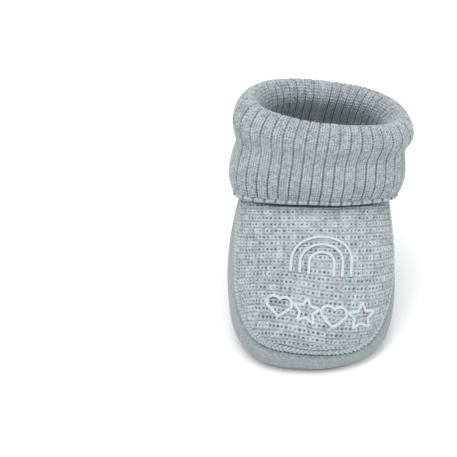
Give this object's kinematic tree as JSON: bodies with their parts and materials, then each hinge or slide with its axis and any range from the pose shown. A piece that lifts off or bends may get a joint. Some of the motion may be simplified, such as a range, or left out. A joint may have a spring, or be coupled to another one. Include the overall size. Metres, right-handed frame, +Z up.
{
  "type": "baby bootie",
  "caption": "Soft knitted baby bootie with a banded-knit front panel, a plain-knit wrap that is also the sole, a turned-down rib cuff and small embroidered motifs.",
  "frame": {"origin": "on the ground under the foot, halfway between the toe's and the heel's greatest reach, on the middle line of the sole's flat face", "axes": "+Z up, -Y towards the toe, +Y towards the heel, +X to the wearer's left as the toe points to the viewer"},
  "size_m": [0.0745, 0.0988, 0.0837],
  "materials": {
    "banded_knit": "heather-grey wool-mix knit with raised bands, matt",
    "plain_knit": "heather-grey plain jersey knit, matt",
    "rib_knit": "heather-grey rib knit, matt",
    "lining_jersey": "fine grey jersey, matt",
    "seam_yarn": "heather-grey linking yarn, matt",
    "wadding": "white polyester wadding",
    "embroidery_thread": "off-white satin-stitch thread, soft sheen"
  },
  "bodies": {
    "root": {"front_panel": "banded_knit", "lower_wrap": "plain_knit", "rib_cuff": "rib_knit", "cuff_hem": "rib_knit", "cuff_back_seam": "seam_yarn", "front_panel_seam": "seam_yarn", "ankle_seam": "seam_yarn", "heel_seam": "seam_yarn", "lining_front": "lining_jersey", "lining_lower": "lining_jersey", "lining_seam": "seam_yarn", "insole_pad": "wadding", "embroidery_backing": "wadding", "embroidered_rainbow": "embroidery_thread", "embroidered_hearts": "embroidery_thread", "embroidered_stars": "embroidery_thread"}
  },
  "joints": []
}
